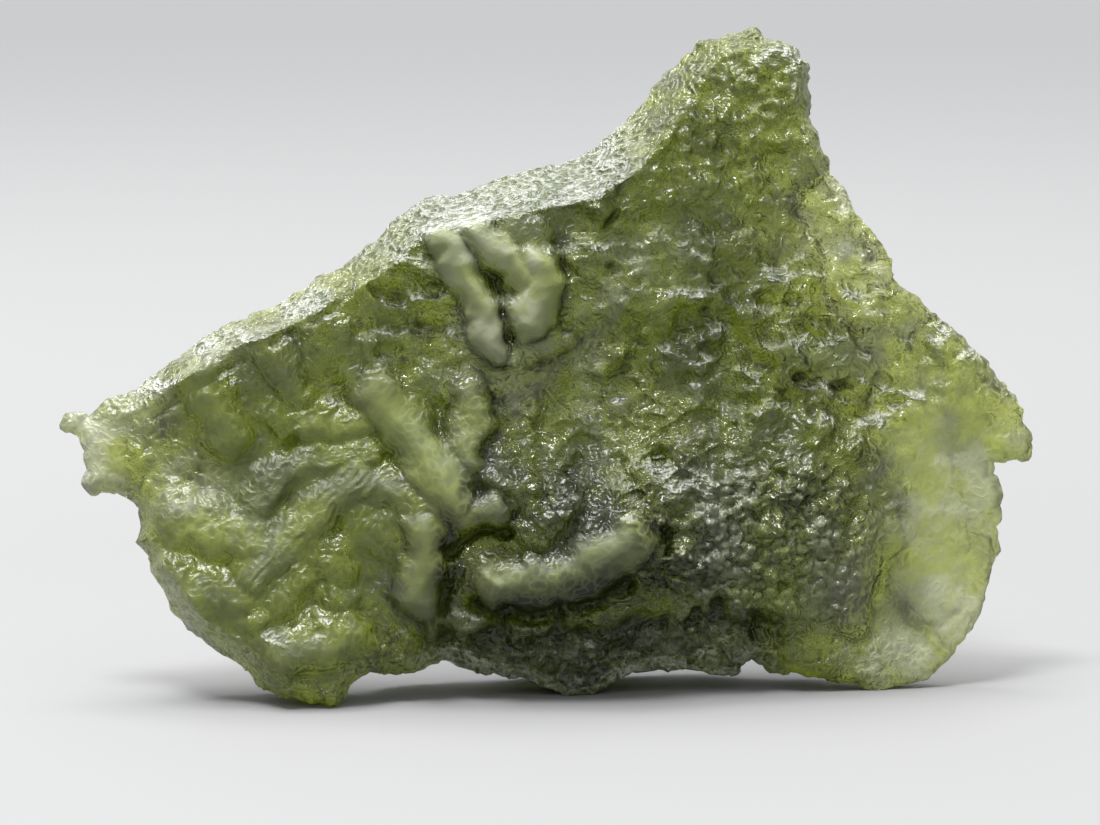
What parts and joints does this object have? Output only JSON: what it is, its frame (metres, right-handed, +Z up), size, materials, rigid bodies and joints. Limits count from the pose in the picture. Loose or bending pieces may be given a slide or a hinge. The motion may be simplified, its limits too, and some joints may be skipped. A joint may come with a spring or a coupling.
{
  "type": "moldavite",
  "caption": "Leaf-shaped piece of natural green glass with an etched, lobed front, standing on a small flat spot.",
  "frame": {"origin": "middle of the small flat spot under the stone that it stands on", "axes": "+X along the stone's length, -Y towards the viewer of its lobed front, +Z up out of the flat spot"},
  "size_m": [0.0488, 0.0114, 0.0332],
  "materials": {
    "glass": "etched, satin to glossy"
  },
  "bodies": {
    "root": {"moldavite": "glass"}
  },
  "joints": []
}
